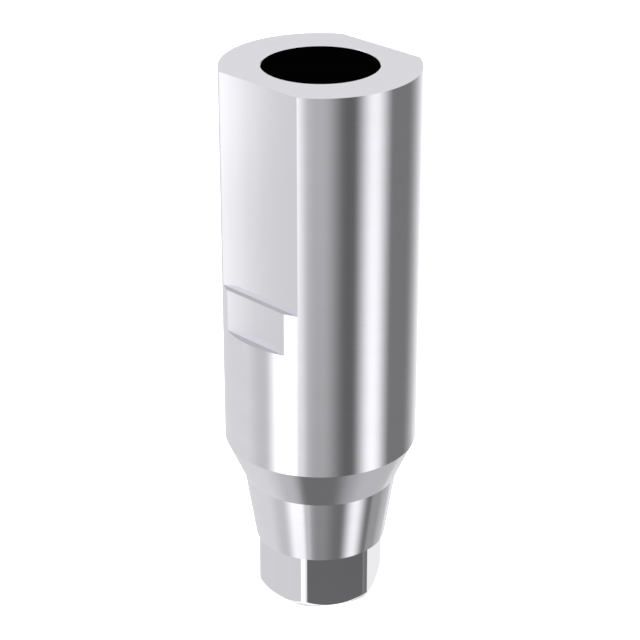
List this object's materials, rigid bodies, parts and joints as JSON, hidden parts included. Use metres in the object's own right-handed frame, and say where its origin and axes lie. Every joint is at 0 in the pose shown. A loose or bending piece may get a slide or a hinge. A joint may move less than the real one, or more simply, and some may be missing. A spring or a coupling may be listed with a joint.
{
  "type": "dental scan body",
  "caption": "Turned titanium post with milled scan flats, a tapered foot and a hexagon that keys into a dental implant, hollow for the fixing screw.",
  "frame": {"origin": "centre of the hexagon's lower end, on the post's axis", "axes": "+Z along the post's axis, from the hexagon up to the top face; -Y square to the long scan flat; +X to the right when the long flat is seen from the front"},
  "size_m": [0.0044, 0.0044, 0.0131],
  "materials": {
    "titanium": "fine-turned and polished titanium, bright, with faint turning marks"
  },
  "bodies": {
    "root": {"scan_body": "titanium"}
  },
  "joints": []
}
